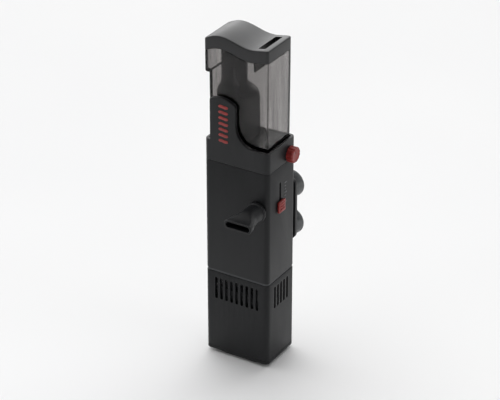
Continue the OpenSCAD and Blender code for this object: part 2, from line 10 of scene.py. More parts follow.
import bmesh
import bpy
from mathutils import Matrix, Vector

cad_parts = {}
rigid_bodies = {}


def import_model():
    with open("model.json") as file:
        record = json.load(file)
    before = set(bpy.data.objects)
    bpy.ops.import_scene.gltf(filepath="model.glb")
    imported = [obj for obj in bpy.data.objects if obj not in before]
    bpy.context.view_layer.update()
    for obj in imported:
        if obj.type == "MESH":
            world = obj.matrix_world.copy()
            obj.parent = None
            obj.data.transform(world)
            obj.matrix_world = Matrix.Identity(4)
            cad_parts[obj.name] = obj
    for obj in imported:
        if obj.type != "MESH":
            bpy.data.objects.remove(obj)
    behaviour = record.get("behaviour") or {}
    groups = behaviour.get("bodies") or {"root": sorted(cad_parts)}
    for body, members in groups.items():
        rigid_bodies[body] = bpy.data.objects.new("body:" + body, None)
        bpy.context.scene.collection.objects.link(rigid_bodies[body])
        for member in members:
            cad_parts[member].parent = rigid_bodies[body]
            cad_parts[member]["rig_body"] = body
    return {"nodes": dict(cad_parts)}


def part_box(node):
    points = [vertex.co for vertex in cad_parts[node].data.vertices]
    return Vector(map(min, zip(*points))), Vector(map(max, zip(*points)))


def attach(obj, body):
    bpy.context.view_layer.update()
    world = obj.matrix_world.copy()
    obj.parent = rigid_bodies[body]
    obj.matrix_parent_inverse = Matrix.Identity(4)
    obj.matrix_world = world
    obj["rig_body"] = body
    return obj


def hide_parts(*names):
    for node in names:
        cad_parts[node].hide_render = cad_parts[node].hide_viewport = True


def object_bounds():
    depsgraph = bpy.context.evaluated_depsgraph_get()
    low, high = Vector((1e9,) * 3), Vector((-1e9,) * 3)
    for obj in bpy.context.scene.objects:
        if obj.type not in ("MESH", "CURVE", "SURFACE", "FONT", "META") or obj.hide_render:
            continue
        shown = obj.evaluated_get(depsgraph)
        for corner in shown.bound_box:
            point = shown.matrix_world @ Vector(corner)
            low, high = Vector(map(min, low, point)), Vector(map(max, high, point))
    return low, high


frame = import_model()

cad_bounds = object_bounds()
MM = 0.001

# ---------------------------------------------------------------- driving shapes

WAVE_CREST = 3.2 * MM       # crest of the lid's wave above its right end
WAVE_TROUGH = 2.1 * MM      # depth of its trough below that end
WAVE_LEFT = 1.6 * MM        # drop of the left corner
CREST_X = -17 * MM
TROUGH_X = 11 * MM
SKIRT_H = 11 * MM           # skirt of the lid, over the cup's rim
SKIRT_T = 1.3 * MM
LID_PLATE = 2.2 * MM
LID_RIM = 3.6 * MM          # solid border inside the skirt
CUP_WALL = 2.4 * MM
CUP_TAPER = 0.4 * MM        # the cup is this much narrower at its foot, on each side
CUP_STEP_Z = 60 * MM        # height of the step in the cup's left side
CUP_CORNER = 2.2 * MM
RISER_WALL = 1.8 * MM
NECK_X = -14.2 * MM
NECK_R = 10.8 * MM
WALL = 2.2 * MM             # wall of the column and its casings
BODY_R = 4 * MM             # corner radius of the column

housing_low, housing_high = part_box("upper_housing")
casing_low, casing_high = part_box("column_casing")
pump_low, pump_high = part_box("pump_casing")
cup_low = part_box("cup_shell")[0]
lid_low, lid_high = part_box("cup_lid")
riser_low, riser_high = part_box("riser_tube")
seal_low, seal_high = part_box("lid_seal")

BODY_X = pump_high.x        # half width and half depth of the column
BODY_Y = pump_high.y
CUP_Z = riser_low.z - CUP_WALL
LID_Z = lid_high.z - WAVE_CREST


# ---------------------------------------------------------------- mesh helpers

def plan(x0, x1, y0, y1, r, corner=7, side=40):
    """Rounded rectangle as a closed loop: the front row from left to right, then the back row."""
    r = max(r, 0.1 * MM)
    middle = (y0 + y1) / 2
    half = (y1 - y0) / 2
    row = []
    for i in range(corner + 1):
        a = math.pi * (1 + 0.5 * i / corner)
        row.append((x0 + r + r * math.cos(a), -half + r + r * math.sin(a)))
    for i in range(1, side):
        row.append((x0 + r + (x1 - x0 - 2 * r) * i / side, -half))
    for i in range(corner + 1):
        a = math.pi * (1.5 + 0.5 * i / corner)
        row.append((x1 - r + r * math.cos(a), -half + r + r * math.sin(a)))
    front = [(x, middle + y) for x, y in row]
    back = [(x, middle - y) for x, y in reversed(row)]
    return front + back


class Shell:
    """Closed skin made of loops of points joined one to the next."""

    def __init__(self):
        self.bm = bmesh.new()
        self.last = None

    def ring(self, points):
        loop = [self.bm.verts.new(p) for p in points]
        if self.last:
            self.bridge(self.last, loop)
        self.last = loop
        return loop

    def bridge(self, a, b):
        n = len(a)
        for i in range(n):
            j = (i + 1) % n
            self.bm.faces.new((a[i], a[j], b[j], b[i]))

    def strip(self, loop):
        """Closes a loop from plan() with quads from its front row to its back row."""
        m = len(loop) // 2
        front, back = loop[:m], loop[m:][::-1]
        for i in range(m - 1):
            self.bm.faces.new((front[i], front[i + 1], back[i + 1], back[i]))

    def mesh(self, name):
        bm = self.bm
        bmesh.ops.remove_doubles(bm, verts=bm.verts, dist=1e-7)
        bmesh.ops.dissolve_degenerate(bm, edges=bm.edges, dist=1e-8)
        bmesh.ops.recalc_face_normals(bm, faces=bm.faces)
        mesh = bpy.data.meshes.new(name)
        bm.to_mesh(mesh)
        bm.free()
        return mesh


def lathe(profile, centre, axis, segments, wobble=None):
    """Solid turned about an axis. profile is [(radius, height along the axis)], closed on itself
    where its ends aren't on the axis. wobble(angle, radius, height) gives the radius there."""
    shell = Shell()
    turn = Vector((0, 0, 1)).rotation_difference(Vector(axis)).to_matrix()
    first = None
    for r, h in profile:
        loop = []
        for i in range(segments):
            a = 2 * math.pi * i / segments
            rr = wobble(a, r, h) if wobble else r
            loop.append(Vector(centre) + turn @ Vector((rr * math.cos(a), rr * math.sin(a), h)))
        made = shell.ring(loop)
        first = first or made
    if profile[0][0] > 1e-7 or profile[-1][0] > 1e-7:
        shell.bridge(shell.last, first)
    return shell


def prism(outline, normal_axis, low, high):
    """Straight solid over a 2-D outline: (x, z) for a prism along y, (x, y) along z, (y, z) along x."""
    bm = bmesh.new()

    def place(p, t):
        return {"x": (t, p[0], p[1]), "y": (p[0], t, p[1]), "z": (p[0], p[1], t)}[normal_axis]

    a = [bm.verts.new(place(p, low)) for p in outline]
    b = [bm.verts.new(place(p, high)) for p in outline]
    n = len(outline)
    bm.faces.new(a)
    bm.faces.new(b)
    for i in range(n):
        j = (i + 1) % n
        bm.faces.new((a[i], a[j], b[j], b[i]))
    bmesh.ops.recalc_face_normals(bm, faces=bm.faces)
    return bm


def round_plan(cx, cy, w, d, r, n=6):
    """Rounded rectangle in the plane of a prism, about a centre."""
    pts = []
    for sx, sy, start in ((1, 1, 0), (-1, 1, 90), (-1, -1, 180), (1, -1, 270)):
        for i in range(n + 1):
            a = math.radians(start + 90 * i / n)
            pts.append((cx + sx * (w / 2 - r) + r * math.cos(a), cy + sy * (d / 2 - r) + r * math.sin(a)))
    return pts


def circle_plan(cx, cy, r, n=40):
    turn = 2 * math.pi / n
    return [(cx + r * math.cos(turn * i), cy + r * math.sin(turn * i)) for i in range(n)]


def to_mesh(bm, name):
    mesh = bpy.data.meshes.new(name)
    bm.to_mesh(mesh)
    bm.free()
    return mesh


def joined(solids):
    """One bmesh that holds all the given ones."""
    whole = bmesh.new()
    for bm in solids:
        part = to_mesh(bm, "part")
        whole.from_mesh(part)
        bpy.data.meshes.remove(part)
    return whole


def box_middle(node):
    low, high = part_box(node)
    return (low + high) / 2


def loose(mesh):
    """Object in the scene that isn't a piece yet."""
    obj = bpy.data.objects.new(mesh.name, mesh)
    bpy.context.scene.collection.objects.link(obj)
    return obj


def carve(obj, *steps):
    """Adds or cuts solids, each step ("UNION" or "DIFFERENCE", bmesh)."""
    for how, bm in steps:
        tool = loose(to_mesh(bm, "tool"))
        mod = obj.modifiers.new("carve", "BOOLEAN")
        mod.operation = how
        mod.solver = "EXACT"
        mod.object = tool
        bpy.context.view_layer.update()
        result = bpy.data.meshes.new_from_object(obj.evaluated_get(bpy.context.evaluated_depsgraph_get()))
        obj.modifiers.clear()
        obj.data = result
        bpy.data.objects.remove(tool)
    return obj


def bevel_edges(bm, width, pick, segments=3):
    edges = [e for e in bm.edges if len(e.link_faces) == 2 and pick(e)]
    bmesh.ops.bevel(bm, geom=edges, offset=width, segments=segments, profile=0.5,
                    affect="EDGES", clamp_overlap=True)
    return bm


def softened(node, width):
    """Copy of a CAD node's mesh with its sharp edges rounded."""
    bm = bmesh.new()
    bm.from_mesh(frame["nodes"][node].data)
    bmesh.ops.remove_doubles(bm, verts=bm.verts, dist=2e-6)
    bmesh.ops.dissolve_limit(bm, angle_limit=math.radians(0.6), verts=bm.verts, edges=bm.edges,
                             delimit={"NORMAL"})
    sharp = math.radians(38)
    bevel_edges(bm, width, lambda e: e.calc_face_angle(0) > sharp, 2)
    return to_mesh(bm, node)


def piece(name, mesh, node, material, sharp=32):
    """Shown piece that replaces a CAD node and rides on its body."""
    obj = mesh if isinstance(mesh, bpy.types.Object) else loose(mesh)
    obj.name = name
    obj.data.name = name
    obj.data.materials.clear()
    obj.data.materials.append(material)
    obj.data.shade_smooth()
    obj.data.set_sharp_from_angle(angle=math.radians(sharp))
    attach(obj, frame["nodes"][node]["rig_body"])
    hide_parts(node)
    return obj


def trim(name, mesh, body, material):
    """Shown piece that replaces nothing."""
    obj = loose(mesh)
    obj.name = name
    obj.data.materials.append(material)
    obj.data.shade_smooth()
    obj.data.set_sharp_from_angle(angle=math.radians(32))
    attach(obj, body)
    return obj


def finish_cad(node, material):
    """CAD node that stays as it is, with a better material."""
    obj = frame["nodes"][node]
    obj.data.materials.clear()
    obj.data.materials.append(material)


# ---------------------------------------------------------------- materials

class Surface:
    """Short way to write a procedural material in object space."""

    def __init__(self, name):
        self.mat = bpy.data.materials.new(name)
        self.mat.use_nodes = True
        self.tree = self.mat.node_tree
        self.tree.nodes.clear()
        self.out = self.node("ShaderNodeOutputMaterial")
        self.shader = self.node("ShaderNodeBsdfPrincipled")
        self.link(self.shader.outputs[0], self.out.inputs["Surface"])
        self.place = self.node("ShaderNodeTexCoord").outputs["Object"]

    def node(self, kind, **settings):
        made = self.tree.nodes.new(kind)
        for key, value in settings.items():
            setattr(made, key, value)
        return made

    def link(self, a, b):
        self.tree.links.new(a, b)

    def put(self, socket, value):
        """Constant or link onto an input."""
        if hasattr(value, "is_output"):
            self.link(value, socket)
        else:
            socket.default_value = value

    def set(self, **values):
        for key, value in values.items():
            self.put(self.shader.inputs[key.replace("_", " ")], value)
        return self

    def noise(self, scale, detail, rough, stretch=(1, 1, 1)):
        """Cloudy pattern from 0 to 1, about scale grains to the metre."""
        spread = self.node("ShaderNodeMapping")
        spread.inputs["Scale"].default_value = stretch
        self.link(self.place, spread.inputs["Vector"])
        made = self.node("ShaderNodeTexNoise")
        self.link(spread.outputs[0], made.inputs["Vector"])
        made.inputs["Scale"].default_value = scale
        made.inputs["Detail"].default_value = detail
        made.inputs["Roughness"].default_value = rough
        return made.outputs["Fac"]

    def ramp(self, value, low, high, start=0.0, end=1.0):
        """Value stretched from low..high to start..end, and held there outside."""
        made = self.node("ShaderNodeMapRange")
        made.clamp = True
        self.put(made.inputs["Value"], value)
        made.inputs["From Min"].default_value = low
        made.inputs["From Max"].default_value = high
        made.inputs["To Min"].default_value = start
        made.inputs["To Max"].default_value = end
        return made.outputs[0]

    def math(self, how, a, b=0.0):
        made = self.node("ShaderNodeMath", operation=how)
        self.put(made.inputs[0], a)
        self.put(made.inputs[1], b)
        return made.outputs[0]

    def blend(self, factor, a, b):
        made = self.node("ShaderNodeMix", data_type="RGBA")
        self.put(made.inputs["Factor"], factor)
        self.put(made.inputs["A"], (*a, 1) if isinstance(a, tuple) else a)
        self.put(made.inputs["B"], (*b, 1) if isinstance(b, tuple) else b)
        return made.outputs["Result"]

    def edges(self, radius):
        """1 near a convex edge, 0 on flats."""
        soft = self.node("ShaderNodeBevel", samples=4)
        soft.inputs["Radius"].default_value = radius
        true = self.node("ShaderNodeNewGeometry")
        dot = self.node("ShaderNodeVectorMath", operation="DOT_PRODUCT")
        self.link(soft.outputs[0], dot.inputs[0])
        self.link(true.outputs["Normal"], dot.inputs[1])
        return self.ramp(dot.outputs["Value"], 0.99, 0.86)

    def bump(self, height, distance, strength):
        made = self.node("ShaderNodeBump")
        made.inputs["Strength"].default_value = strength
        made.inputs["Distance"].default_value = distance
        self.link(height, made.inputs["Height"])
        self.link(made.outputs[0], self.shader.inputs["Normal"])
        return self


def moulded(name, colour, rough, grain=0.00003, wear_and_edge_highlight=0.0, specular=0.5):
    """Injection-moulded plastic: fine spark-eroded grain, faint flow marks, and convex edges lightened in
    patches, partly rubbed wear and partly a painted edge highlight.
    """
    s = Surface(name)
    fine = s.noise(5200, 2.0, 0.6)
    flow = s.noise(38, 3.0, 0.6, (1, 1, 0.35))
    dust = s.noise(700, 4.0, 0.7)
    lighter = tuple(min(1, c * 1.5 + 0.004) for c in colour)
    base = s.blend(s.ramp(flow, 0.32, 0.7), colour, lighter)
    base = s.blend(s.ramp(dust, 0.62, 0.85, 0, 0.35), base, tuple(min(1, c * 2 + 0.01) for c in colour))
    roughness = s.math("ADD", s.ramp(flow, 0.3, 0.7, rough - 0.05, rough + 0.06),
                       s.ramp(fine, 0.3, 0.7, -0.03, 0.03))
    if wear_and_edge_highlight:
        # lighter, glossier convex edges in patches: rubbed wear, and also a painted highlight along the edges
        rub_and_edge_highlight = s.math("MULTIPLY", s.edges(0.7 * MM), s.ramp(dust, 0.35, 0.62, 0.15, 1.0))
        base = s.blend(s.math("MULTIPLY", rub_and_edge_highlight, wear_and_edge_highlight), base, (0.16, 0.16, 0.165))
        roughness = s.math("SUBTRACT", roughness, s.math("MULTIPLY", rub_and_edge_highlight, 0.12))
    s.set(Base_Color=base, Roughness=roughness, Specular_IOR_Level=specular)
    return s.bump(fine, grain, 0.5).mat


def smoked(name, tint):
    """Clear smoke-tinted styrene with darker vertical streaks in its tint, painted shade that stands in for
    bands of refracted light in the walls.
    """
    s = Surface(name)
    # darker vertical streaks in the tint: painted shade for refraction bands in the walls
    refraction_shade_streak = s.noise(150, 3.0, 0.55, (1, 1, 0.06))
    cloud = s.noise(28, 2.0, 0.5, (1, 1, 0.6))
    s.set(Base_Color=s.blend(s.ramp(refraction_shade_streak, 0.41, 0.60), tint, tuple(c * 0.68 for c in tint)),
          Roughness=s.ramp(cloud, 0.3, 0.7, 0.015, 0.045), IOR=1.3, Transmission_Weight=1.0)
    smoke = s.node("ShaderNodeVolumeAbsorption")
    smoke.inputs["Color"].default_value = (0.05, 0.02, 0.01, 1)
    smoke.inputs["Density"].default_value = 150
    s.link(smoke.outputs[0], s.out.inputs["Volume"])
    return s.mat


def painted_red(name, colour):
    s = Surface(name)
    grain = s.noise(2600, 3.0, 0.6)
    blotch = s.noise(260, 2.0, 0.5)
    base = s.blend(s.ramp(blotch, 0.3, 0.75), colour, tuple(c * 0.72 for c in colour))
    # lighter convex edges: rubbed paint, and also a painted highlight along every edge
    rubbed_and_highlit = tuple(min(1, c * 1.6 + 0.02) for c in colour)
    base = s.blend(s.math("MULTIPLY", s.edges(0.35 * MM), 0.35), base, rubbed_and_highlit)
    s.set(Base_Color=base, Roughness=s.ramp(grain, 0.3, 0.7, 0.34, 0.46))
    return s.bump(grain, 0.00002, 0.5).mat


def rubber(name, colour):
    s = Surface(name)
    rough = 0.72
    bloom = s.noise(180, 4.0, 0.65)
    grain = s.noise(3300, 3.0, 0.6)
    base = s.blend(s.ramp(bloom, 0.45, 0.8, 0, 0.6), colour, tuple(min(1, c * 1.7 + 0.015) for c in colour))
    s.set(Base_Color=base, Roughness=s.ramp(grain, 0.3, 0.7, rough - 0.08, rough + 0.08),
          Specular_IOR_Level=0.35)
    return s.bump(grain, 0.00004, 0.6).mat


def soft_vinyl(name, colour):
    """Smoke-grey suction cup: partly see-through, oily gloss."""
    s = Surface(name)
    cloud = s.noise(140, 3.0, 0.6)
    s.set(Base_Color=s.blend(s.ramp(cloud, 0.3, 0.75), colour, tuple(c * 1.35 for c in colour)),
          Roughness=s.ramp(cloud, 0.3, 0.7, 0.16, 0.28), Subsurface_Weight=0.25, Coat_Weight=0.3,
          Coat_Roughness=0.08)
    s.shader.inputs["Subsurface Radius"].default_value = (0.002, 0.002, 0.002)
    return s.bump(s.noise(900, 3.0, 0.6), 0.00002, 0.4).mat


def metal(name, colour, rough):
    s = Surface(name)
    lines = s.noise(4200, 3.0, 0.6, (1, 1, 0.05))
    stain = s.noise(300, 3.0, 0.6)
    base = s.blend(s.ramp(stain, 0.4, 0.8, 0, 0.5), colour, tuple(c * 0.7 for c in colour))
    s.set(Base_Color=base, Metallic=1.0, Roughness=s.ramp(lines, 0.25, 0.75, rough - 0.08, rough + 0.12))
    return s.bump(lines, 0.00001, 0.5).mat


def banded(name, colour, dark, pitch, axis, metallic, rough):
    """Stacked sheets or wound wire: even bands along one axis, with a groove between them."""
    s = Surface(name)
    split = s.node("ShaderNodeSeparateXYZ")
    s.link(s.place, split.inputs[0])
    wave = s.math("SINE", s.math("MULTIPLY", split.outputs[axis], 2 * math.pi / pitch))
    groove = s.ramp(wave, -0.95, -0.3)
    blotch = s.noise(420, 3.0, 0.6)
    base = s.blend(groove, dark, s.blend(s.ramp(blotch, 0.3, 0.75), colour, tuple(c * 0.78 for c in colour)))
    s.set(Base_Color=base, Metallic=metallic, Roughness=s.ramp(blotch, 0.3, 0.7, rough - 0.06, rough + 0.1))
    return s.bump(groove, 0.00006, 0.8).mat


def milky(name, colour, rough, subsurface):
    """Natural plastic, silicone or glazed ceramic that light enters a little."""
    s = Surface(name)
    cloud = s.noise(160, 3.0, 0.6)
    fine = s.noise(2600, 2.0, 0.6)
    s.set(Base_Color=s.blend(s.ramp(cloud, 0.35, 0.75), colour, tuple(c * 0.86 for c in colour)),
          Roughness=s.ramp(fine, 0.3, 0.7, rough - 0.05, rough + 0.07), Subsurface_Weight=subsurface)
    s.shader.inputs["Subsurface Radius"].default_value = (0.0015, 0.0013, 0.001)
    return s.bump(fine, 0.00002, 0.4).mat


SATIN = moulded("satin_black", (0.0075, 0.008, 0.009), 0.38, wear_and_edge_highlight=0.55, specular=0.28)
LID_SATIN = moulded("lid_satin_black", (0.0075, 0.0078, 0.0088), 0.38, grain=0.00002, wear_and_edge_highlight=0.45,
                    specular=0.44)
COLUMN = moulded("column_black", (0.0065, 0.007, 0.008), 0.44, wear_and_edge_highlight=0.28, specular=0.26)
INNER = moulded("inner_grey", (0.045, 0.047, 0.05), 0.45, specular=0.35)
GLOSS = moulded("gloss_black", (0.005, 0.005, 0.0055), 0.22, grain=0.00001, specular=0.35)
WHITE = moulded("natural_white", (0.72, 0.71, 0.67), 0.42, grain=0.00002)
SMOKE = smoked("smoke_tinted_cup", (0.86, 0.85, 0.845))
RED = painted_red("mark_red", (0.33, 0.024, 0.02))
KNOB_RED = painted_red("control_red", (0.30, 0.022, 0.018))
BLACK_RUBBER = rubber("black_rubber", (0.018, 0.018, 0.019))
VINYL = soft_vinyl("smoke_vinyl", (0.10, 0.105, 0.108))
SILICONE = milky("silicone", (0.50, 0.52, 0.52), 0.35, 0.35)
NEEDLE = milky("needle_white", (0.70, 0.71, 0.68), 0.32, 0.15)
CERAMIC = milky("white_ceramic", (0.82, 0.81, 0.77), 0.14, 0.05)
STEEL = metal("stainless", (0.62, 0.62, 0.63), 0.28)
LAMINATIONS = banded("laminations", (0.36, 0.37, 0.39), (0.05, 0.045, 0.04), 0.5 * MM, 1, 0.8, 0.38)
COPPER = banded("copper_winding", (0.62, 0.22, 0.07), (0.10, 0.03, 0.01), 0.32 * MM, 0, 0.7, 0.30)
FERRITE = moulded("bonded_ferrite", (0.035, 0.035, 0.037), 0.5)
TICK_GREY = moulded("tick_grey", (0.12, 0.12, 0.125), 0.5)


# ---------------------------------------------------------------- lid and cup

def wave(x):
    """Height of the lid's top over its right end."""
    left, right = lid_low.x, lid_high.x
    if x < CREST_X:
        rise = math.sin(math.pi / 2 * max(0, (x - left) / (CREST_X - left)))
        return -WAVE_LEFT + (WAVE_CREST + WAVE_LEFT) * rise
    if x < TROUGH_X:
        t = (x - CREST_X) / (TROUGH_X - CREST_X)
        return (WAVE_CREST - WAVE_TROUGH) / 2 + (WAVE_CREST + WAVE_TROUGH) / 2 * math.cos(math.pi * t)
    t = min(1, (x - TROUGH_X) / (right - TROUGH_X))
    return -WAVE_TROUGH * (1 + math.cos(math.pi * t)) / 2


def top_plan(inset):
    """Outline of the cup's stepped-out top, inset from its outside."""
    return plan(lid_low.x + inset, lid_high.x - inset, lid_low.y + inset, lid_high.y - inset,
                CUP_CORNER - inset)


VENT = (15.9 * MM, 22.4 * MM, 13.5 * MM)      # left, right and half length of the slot
VENT_R = 0.7 * MM
BAFFLE = (13.0 * MM, 14.6 * MM)               # left and right of the splash baffle
CHUTE_RIGHT = 24.6 * MM
CHUTE_LOW = 80.5 * MM                         # foot of the vent's chute over the cup's underside


def make_lid():
    shell = Shell()
    seal_z = seal_high.z
    round_top = 1.1 * MM
    lip = 0.3 * MM

    def follow(inset, drop, floor=None):
        return [(x, y, max(LID_Z + wave(x) - drop, floor or 0)) for x, y in top_plan(inset)]

    def level(inset, z):
        return [(x, y, z) for x, y in top_plan(inset)]

    shell.strip(shell.ring(follow(LID_RIM, LID_PLATE, seal_z + 0.05 * MM)))
    shell.ring(level(LID_RIM, seal_z))
    shell.ring(level(SKIRT_T, seal_z))
    shell.ring(follow(SKIRT_T, SKIRT_H - lip))
    shell.ring(follow(SKIRT_T - lip, SKIRT_H))
    shell.ring(follow(lip, SKIRT_H))
    shell.ring(follow(0, SKIRT_H - lip))
    steps = 5
    for i in range(steps + 1):
        a = math.pi / 2 * i / steps
        shell.ring(follow(round_top * (1 - math.cos(a)), round_top * (1 - math.sin(a))))
    shell.strip(shell.last)
    lid = loose(shell.mesh("lid"))

    half = lid_high.y - LID_RIM
    inside_top = LID_Z - WAVE_TROUGH - 0.4 * MM
    baffle = prism([(BAFFLE[0], -half), (BAFFLE[1], -half), (BAFFLE[1], half), (BAFFLE[0], half)],
                   "z", lid_low.z, inside_top)
    bevel_edges(baffle, 0.4 * MM, lambda e: all(v.co.z < lid_low.z + 1e-6 for v in e.verts), 2)
    chute = prism([(BAFFLE[0] + 0.2 * MM, -half), (CHUTE_RIGHT, -half), (CHUTE_RIGHT, half),
                   (BAFFLE[0] + 0.2 * MM, half)], "z", CUP_Z + CHUTE_LOW, inside_top)
    width = VENT[1] - VENT[0]
    middle = (VENT[0] + VENT[1]) / 2
    slot = prism(round_plan(middle, 0, width, 2 * VENT[2], VENT_R), "z", lid_low.z - MM, lid_high.z + MM)
    carve(lid, ("UNION", baffle), ("UNION", chute), ("DIFFERENCE", slot))
    piece("lid_moulding", lid, "cup_lid", LID_SATIN)


RISER_X = (riser_low.x + riser_high.x) / 2
RISER_HALF = ((riser_high.x - riser_low.x) / 2, riser_high.y)
RISER_R = 7 * MM


def make_cup():
    shell = Shell()
    right, wide_left = lid_high.x, lid_low.x
    narrow_left = -right                      # left side of the cup below its step
    foot = 0.6 * MM                           # outer radius round the floor
    fillet = 1.2 * MM                         # inner one
    ledge = 0.5 * MM
    lip_h, lip_w = 0.3 * MM, 0.25 * MM        # chamfer of the rim
    rows, turns = 8, 3

    def level(z, inset, left):
        y = lid_high.y - inset
        outline = plan(left + inset, right - inset, -y, y, max(CUP_CORNER - inset, 0.8 * MM))
        return [(px, py, CUP_Z + z) for px, py in outline]

    def lower(z, inset):
        """Ring of the tapered part under the step."""
        narrow = CUP_TAPER * (1 - min(1, z / CUP_STEP_Z))
        return level(z, inset + narrow, narrow_left)

    def follow(inset):
        return [(x, y, LID_Z + wave(x) - SKIRT_H - 0.15 * MM) for x, y in top_plan(inset)]

    shell.strip(shell.ring(lower(0, foot)))
    for i in range(1, turns + 1):
        a = math.pi / 2 * i / turns
        shell.ring(lower(foot * (1 - math.cos(a)), foot * (1 - math.sin(a))))
    for i in range(1, rows + 1):
        shell.ring(lower(CUP_STEP_Z * i / rows, 0))
    shell.ring(level(CUP_STEP_Z, 0, wide_left + ledge))
    shell.ring(level(CUP_STEP_Z + 0.3 * ledge, 0, wide_left + 0.3 * ledge))
    shell.ring(level(CUP_STEP_Z + ledge, 0, wide_left))
    rebate = SKIRT_T + 0.15 * MM
    rim = seal_low.z - CUP_Z
    shell.ring(follow(0))
    shell.ring(follow(rebate))
    shell.ring(level(rim - lip_h, rebate, wide_left))
    shell.ring(level(rim, rebate + lip_w, wide_left))
    shell.ring(level(rim, CUP_WALL - lip_w, wide_left))
    shell.ring(level(rim - lip_h, CUP_WALL, wide_left))
    shell.ring(level(CUP_STEP_Z + CUP_WALL + ledge, CUP_WALL, wide_left))
    shell.ring(level(CUP_STEP_Z + CUP_WALL, CUP_WALL, wide_left + ledge))
    shell.ring(level(CUP_STEP_Z + CUP_WALL, CUP_WALL, narrow_left))
    for i in range(rows - 1, -1, -1):
        shell.ring(lower(max(CUP_STEP_Z * i / rows, CUP_WALL + fillet), CUP_WALL))
    for i in range(1, turns + 1):
        a = math.pi / 2 * i / turns
        shell.ring(lower(CUP_WALL + fillet * (1 - math.sin(a)), CUP_WALL + fillet * (1 - math.cos(a))))
    shell.strip(shell.last)
    cup = loose(shell.mesh("cup"))
    outer = round_plan(RISER_X, 0, 2 * RISER_HALF[0], 2 * RISER_HALF[1], RISER_R, 8)
    bore_w = 2 * (RISER_HALF[0] - RISER_WALL)
    bore_d = 2 * (RISER_HALF[1] - RISER_WALL)
    bore = round_plan(RISER_X, 0, bore_w, bore_d, RISER_R - RISER_WALL, 8)
    carve(cup, ("UNION", prism(outer, "z", cup_low.z, CUP_Z + MM)),
          ("DIFFERENCE", prism(bore, "z", cup_low.z - MM, CUP_Z + CUP_WALL + MM)))
    piece("cup_moulding", cup, "cup_shell", SMOKE)


def make_riser():
    """Bottle-shaped tube: a square body that blends into a round neck."""
    shoulder_low, shoulder_top, shoulder_r = 36 * MM, 50 * MM, 21 * MM
    straight_top = 30 * MM
    slope = 4                                 # how fast the bottle widens under its shoulder
    soft = 2.2 * MM                           # width of the blend between the two outlines
    top = riser_high.z - CUP_Z
    around = 96

    def square_reach(angle, inset):
        """Distance from the neck's axis to the square body's outline."""
        c, s = math.cos(angle), math.sin(angle)
        hx, hy = RISER_HALF[0] - inset, RISER_HALF[1] - inset
        r = RISER_R - inset
        low, high = 0.0, 0.05
        for _ in range(40):
            t = (low + high) / 2
            qx = abs(NECK_X + t * c - RISER_X) - (hx - r)
            qy = abs(t * s) - (hy - r)
            gap = math.hypot(max(qx, 0), max(qy, 0)) + min(max(qx, qy), 0) - r
            low, high = (t, high) if gap < 0 else (low, t)
        return low

    def bottle(z, inset):
        if z >= shoulder_top:
            return NECK_R - inset
        if z >= shoulder_low:
            t = (z - shoulder_low) / (shoulder_top - shoulder_low)
            return shoulder_r - (shoulder_r - NECK_R) * (1 - math.cos(math.pi * t)) / 2 - inset
        return shoulder_r + (shoulder_low - z) * slope - inset

    def ring(z, inset):
        """The smaller of the two outlines, blended over a few millimetres."""
        points = []
        for i in range(around):
            a = 2 * math.pi * i / around
            p, q = square_reach(a, inset), bottle(z, inset)
            h = max(soft - abs(p - q), 0) / soft
            r = min(p, q) - h * h * soft / 4
            points.append((NECK_X + r * math.cos(a), r * math.sin(a), CUP_Z + z))
        return points

    shell = Shell()
    heights = [CUP_WALL + (straight_top - CUP_WALL) * i / 4 for i in range(5)]
    heights += [straight_top + (1 + i) * MM for i in range(20)]       # close rings over the shoulder
    heights += [shoulder_top + (2 + 4 * i) * MM for i in range(6)]
    edge = 0.6 * MM
    first = None
    for z in heights:
        made = shell.ring(ring(z, 0))
        first = first or made
    for i in range(7):
        a = math.pi * i / 6
        middle = RISER_WALL / 2
        shell.ring(ring(top - edge + edge * math.sin(a), middle - middle * math.cos(a)))
    for z in reversed(heights):
        shell.ring(ring(z, RISER_WALL))
    shell.bridge(shell.last, first)
    piece("riser_moulding", shell.mesh("riser"), "riser_tube", GLOSS)


# ---------------------------------------------------------------- collar and tongue

TONGUE_LEFT = -25.4 * MM
TONGUE_W = 24.8 * MM
TONGUE_T = 3 * MM
TONGUE_ARC = (-14.6 * MM, 22 * MM)            # middle and radius of the arched top
SWEEP_R = 17.5 * MM
RIM_H = 1 * MM
TONGUE_ROOT = 5 * MM                          # how far it runs down into the collar


def tongue_outline():
    """Outline of the tongue in x and z, down into the collar."""
    right = TONGUE_LEFT + TONGUE_W
    cx, r = TONGUE_ARC
    cz = housing_high.z - r
    rim = CUP_Z + RIM_H
    left_a = math.acos((TONGUE_LEFT + 1.2 * MM - cx) / r)
    right_a = math.acos((right - 1.5 * MM - cx) / r)
    shoulder_z, corner_z = cz + r * math.sin(left_a), cz + r * math.sin(right_a)
    points = [(TONGUE_LEFT, CUP_Z - TONGUE_ROOT), (TONGUE_LEFT, shoulder_z - 1.6 * MM),
              (TONGUE_LEFT + 0.35 * MM, shoulder_z - 0.5 * MM)]
    arch, sweep = 20, 28
    for i in range(arch + 1):
        a = left_a + (right_a - left_a) * i / arch
        points.append((cx + r * math.cos(a), cz + r * math.sin(a)))
    # rounded right corner, then straight down to the hollow sweep
    points += [(right - 0.6 * MM, corner_z - 0.9 * MM), (right - 0.15 * MM, corner_z - 1.8 * MM),
               (right, corner_z - 2.8 * MM)]
    for i in range(sweep + 1):
        a = math.pi / 2 * i / sweep
        points.append((right + SWEEP_R * (1 - math.cos(a)), rim + SWEEP_R * (1 - math.sin(a))))
    points.append((right + SWEEP_R, CUP_Z - TONGUE_ROOT))
    return points


def column_plan(inset, z):
    return [(x, y, z) for x, y in plan(-BODY_X + inset, BODY_X - inset, -BODY_Y + inset, BODY_Y - inset,
                                       BODY_R - inset)]


